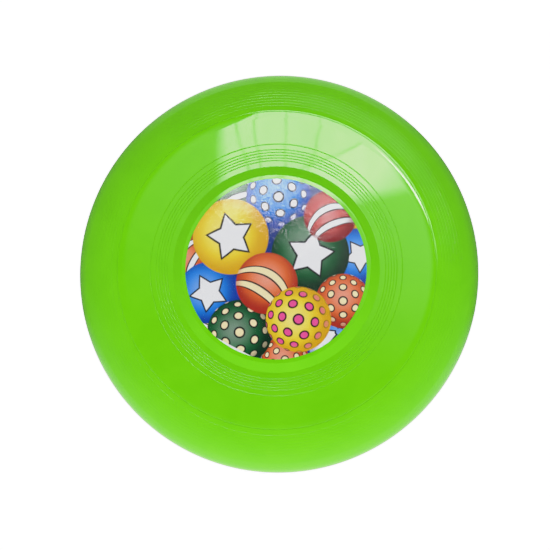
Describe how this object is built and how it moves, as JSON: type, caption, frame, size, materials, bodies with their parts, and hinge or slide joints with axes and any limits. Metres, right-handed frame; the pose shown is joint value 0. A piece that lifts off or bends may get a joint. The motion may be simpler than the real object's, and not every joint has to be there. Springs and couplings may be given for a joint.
{
  "type": "flying disc",
  "caption": "Round moulded flying disc with a raised centre, fine ring grooves, a turned-down rim and a round glossy label.",
  "frame": {"origin": "centre of the rim's foot plane, on the disc's axis", "axes": "+Z along the disc's axis, up through the label; +Y towards the top of the label's print"},
  "size_m": [0.22, 0.22, 0.0276],
  "materials": {
    "moulded_plastic": "glossy lime-green polyethylene",
    "adhesive": "thin cloudy acrylic adhesive",
    "printed_film": "white film with a colour print",
    "clear_film": "clear high-gloss film, slightly uneven"
  },
  "bodies": {
    "root": {"disc_shell": "moulded_plastic", "label_adhesive": "adhesive", "label_print_film": "printed_film", "label_gloss_film": "clear_film"}
  },
  "joints": []
}
